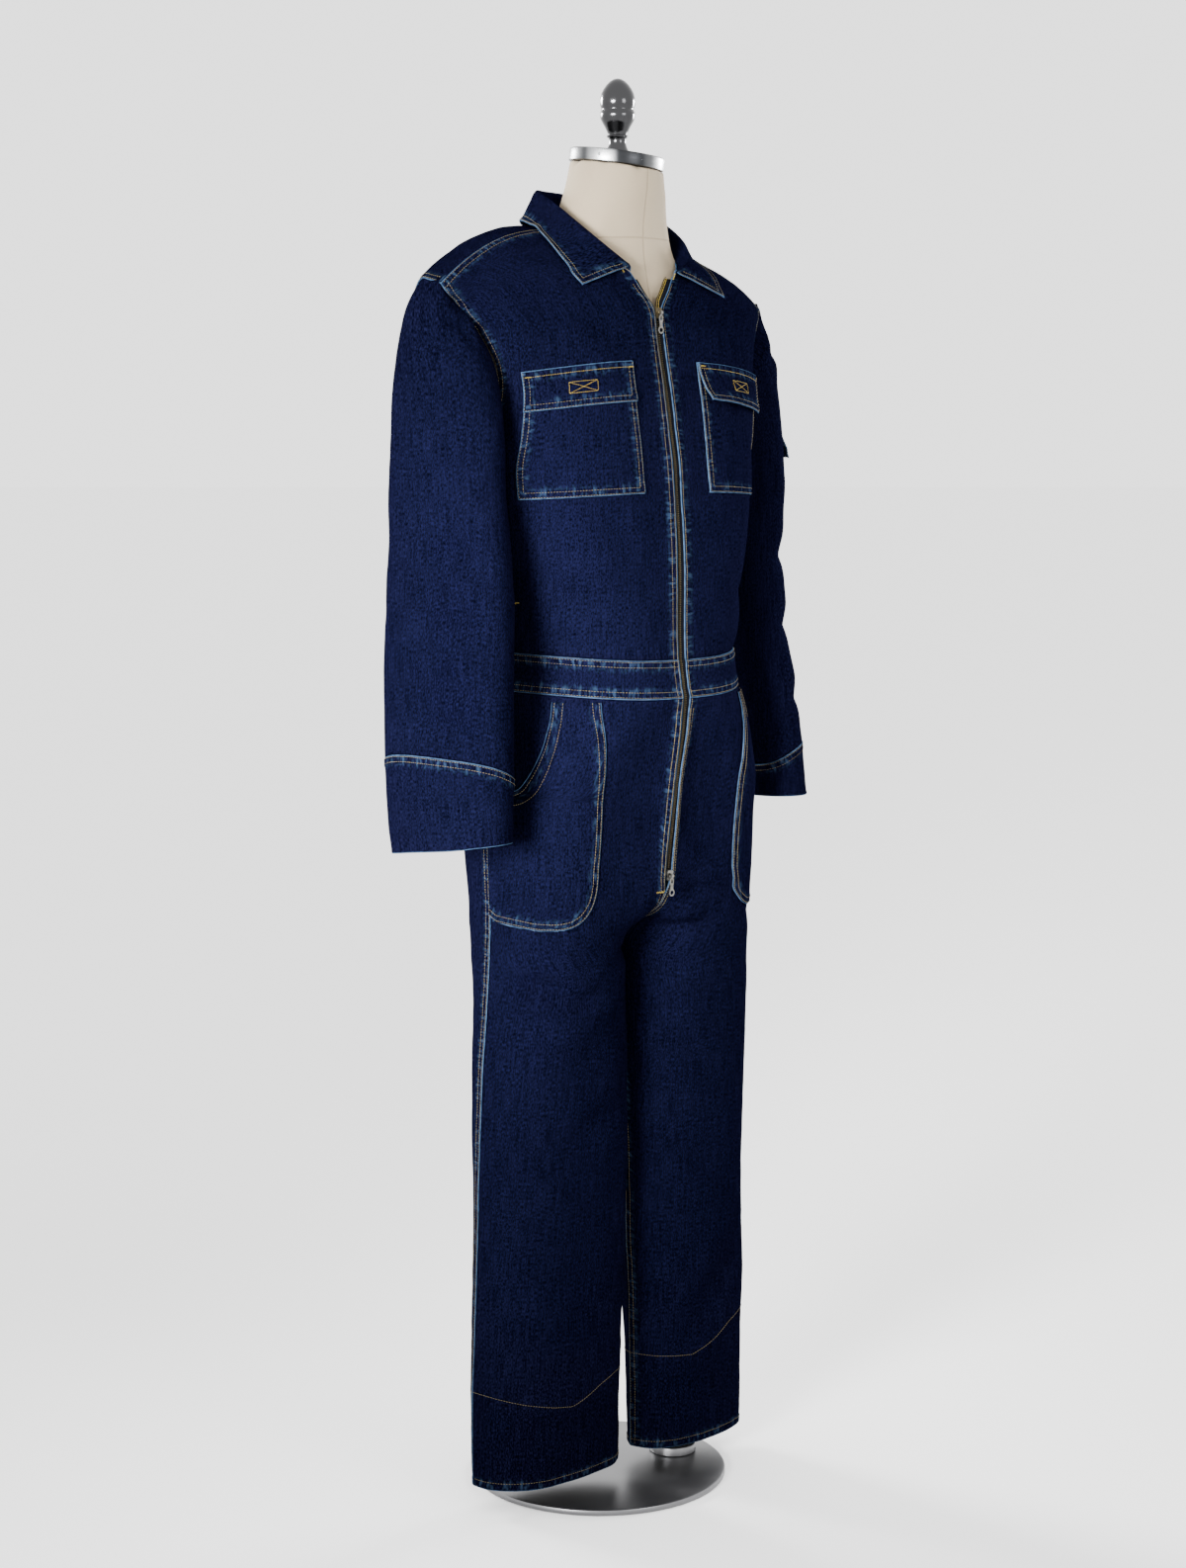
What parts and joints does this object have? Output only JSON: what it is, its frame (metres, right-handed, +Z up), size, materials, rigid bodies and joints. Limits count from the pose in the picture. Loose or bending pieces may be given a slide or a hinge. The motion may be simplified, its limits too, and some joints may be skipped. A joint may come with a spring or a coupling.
{
  "type": "denim jumpsuit on a dress form",
  "caption": "Long-sleeved full-length denim jumpsuit with turned-down collar, full-length zip, patch pockets and wide legs, worn by a limbless dress form on a pole and round base.",
  "frame": {"origin": "centre of the base plate's underside, on the floor", "axes": "+Z up, -Y the way the garment faces, -X the wearer's right"},
  "size_m": [0.6042, 0.321, 1.733],
  "materials": {
    "denim": "dark indigo twill denim",
    "zip_tape": "woven dark tape",
    "nickel": "worn nickel plate",
    "linen": "natural linen cover",
    "brushed_aluminium": "brushed",
    "grey_chrome": "polished",
    "satin_steel": "satin"
  },
  "bodies": {
    "suit_on_form": {"arm_flap": "denim", "arm_pocket": "denim", "back": "denim", "chest_flap_left": "denim", "chest_flap_right": "denim", "chest_pocket_left": "denim", "chest_pocket_right": "denim", "collar": "denim", "cuff_left": "denim", "cuff_right": "denim", "form_cap": "brushed_aluminium", "form_finial": "grey_chrome", "form_torso": "linen", "front_left": "denim", "front_right": "denim", "hip_pocket_left": "denim", "hip_pocket_right": "denim", "leg_back_left": "denim", "leg_back_right": "denim", "leg_front_left": "denim", "leg_front_right": "denim", "sleeve_left": "denim", "sleeve_right": "denim", "stand_base": "satin_steel", "stand_foot": "satin_steel", "stand_pole": "satin_steel", "stand_socket": "satin_steel", "waistband_back": "denim", "waistband_front_left": "denim", "waistband_front_right": "denim", "zip_slider_bottom": "nickel", "zip_slider_top": "nickel", "zip_tape_left": "zip_tape", "zip_tape_right": "zip_tape"},
    "top_pull": {"zip_pull_top": "nickel"},
    "bottom_pull": {"zip_pull_bottom": "nickel"}
  },
  "joints": [
    {"name": "top_pull_hinge", "type": "hinge", "parent": "suit_on_form", "child": "top_pull", "pos_m": [0, -0.11195, 1.45496], "axis": [-1, 0, 0], "range_deg": [0, 110]},
    {"name": "bottom_pull_hinge", "type": "hinge", "parent": "suit_on_form", "child": "bottom_pull", "pos_m": [0, -0.13468, 0.78305], "axis": [-1, 0, 0], "range_deg": [0, 110]}
  ]
}
